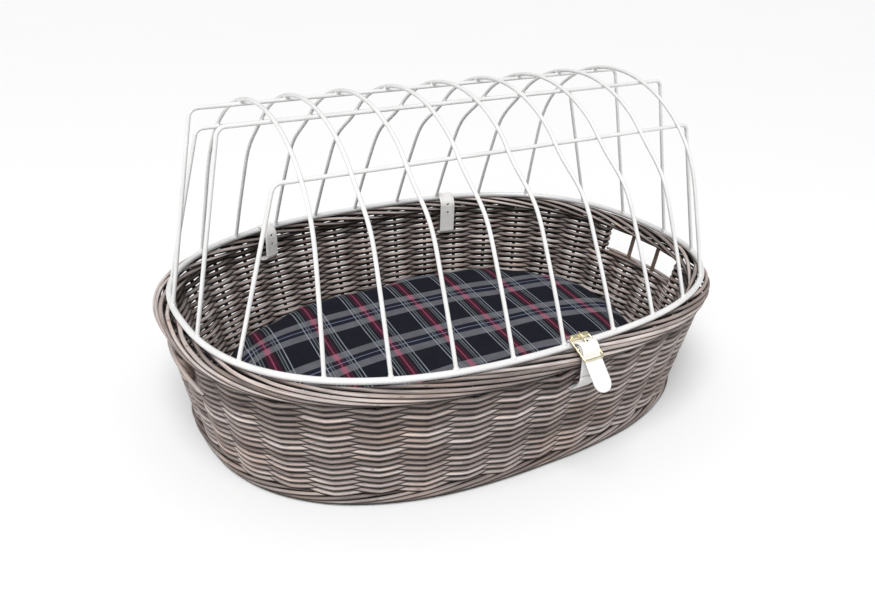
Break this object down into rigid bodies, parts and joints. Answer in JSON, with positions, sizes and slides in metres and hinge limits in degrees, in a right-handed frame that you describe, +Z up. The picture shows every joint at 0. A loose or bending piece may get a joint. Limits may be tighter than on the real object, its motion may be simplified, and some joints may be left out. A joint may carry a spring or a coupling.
{
  "type": "wicker pet basket",
  "caption": "Oval woven basket bed with end hand-holes, a crowned plaid cushion and a hinged wire dome cage held by leather straps.",
  "frame": {"origin": "on the ground, at the centre of the basket's oval foot", "axes": "+Z up, +X along the basket, -Y towards the front closing strap"},
  "size_m": [0.624, 0.488, 0.3439],
  "materials": {
    "coated_wire": "glossy white coating",
    "willow_weave": "grey-washed willow rods",
    "willow_stake": "grey-washed willow sticks",
    "plaid_cloth": "woven navy check with grey, white and red lines",
    "filling": "soft wadding",
    "brass": "pale polished brass plate",
    "white_leather": "smooth white, stitched",
    "leather_back": "light grey back of the strap"
  },
  "bodies": {
    "basket": {"basket_base": "willow_weave", "basket_wall": "willow_weave", "foot_wale": "willow_weave", "front_strap_anchor": "leather_back", "handle_sill_left": "willow_weave", "handle_sill_right": "willow_weave", "handle_stakes": "willow_stake", "rear_rivet_left": "brass", "rear_rivet_right": "brass", "rear_strap_left_anchor": "white_leather", "rear_strap_right_anchor": "white_leather", "wall_stakes": "willow_stake", "woven_border": "willow_weave"},
    "lid": {"cage_arch_1": "coated_wire", "cage_arch_2": "coated_wire", "cage_arch_3": "coated_wire", "cage_arch_4": "coated_wire", "cage_arch_5": "coated_wire", "cage_arch_6": "coated_wire", "cage_arch_7": "coated_wire", "cage_arch_8": "coated_wire", "cage_arch_9": "coated_wire", "cage_hoop": "coated_wire", "cage_rail_lower_back": "coated_wire", "cage_rail_lower_front": "coated_wire", "cage_rail_upper_back": "coated_wire", "cage_rail_upper_front": "coated_wire", "front_strap_billet": "white_leather", "front_strap_chape": "leather_back", "front_buckle_frame": "brass", "rear_strap_left_flap": "white_leather", "rear_strap_right_flap": "white_leather"},
    "cushion": {"cushion_cover": "plaid_cloth", "cushion_filling": "filling"},
    "buckle_roller": {"front_buckle_roller": "brass"},
    "buckle_prong": {"front_buckle_prong": "brass"}
  },
  "joints": [
    {"name": "lid_hinge", "type": "hinge", "parent": "basket", "child": "lid", "pos_m": [0, 0.216, 0.1424], "axis": [-1, 0, 0], "range_deg": [0, 90]},
    {"name": "cushion_lift", "type": "slide", "parent": "basket", "child": "cushion", "axis": [0, 0, 1], "range_m": [0, 0.08]},
    {"name": "buckle_roller_spin", "type": "hinge", "parent": "lid", "child": "buckle_roller", "pos_m": [0.0105, -0.2135, 0.14965], "axis": [1, 0, 0], "continuous": true},
    {"name": "buckle_prong_swing", "type": "hinge", "parent": "lid", "child": "buckle_prong", "pos_m": [0.0105, -0.2255, 0.14369], "axis": [1, 0, 0], "range_deg": [0, 4]}
  ]
}
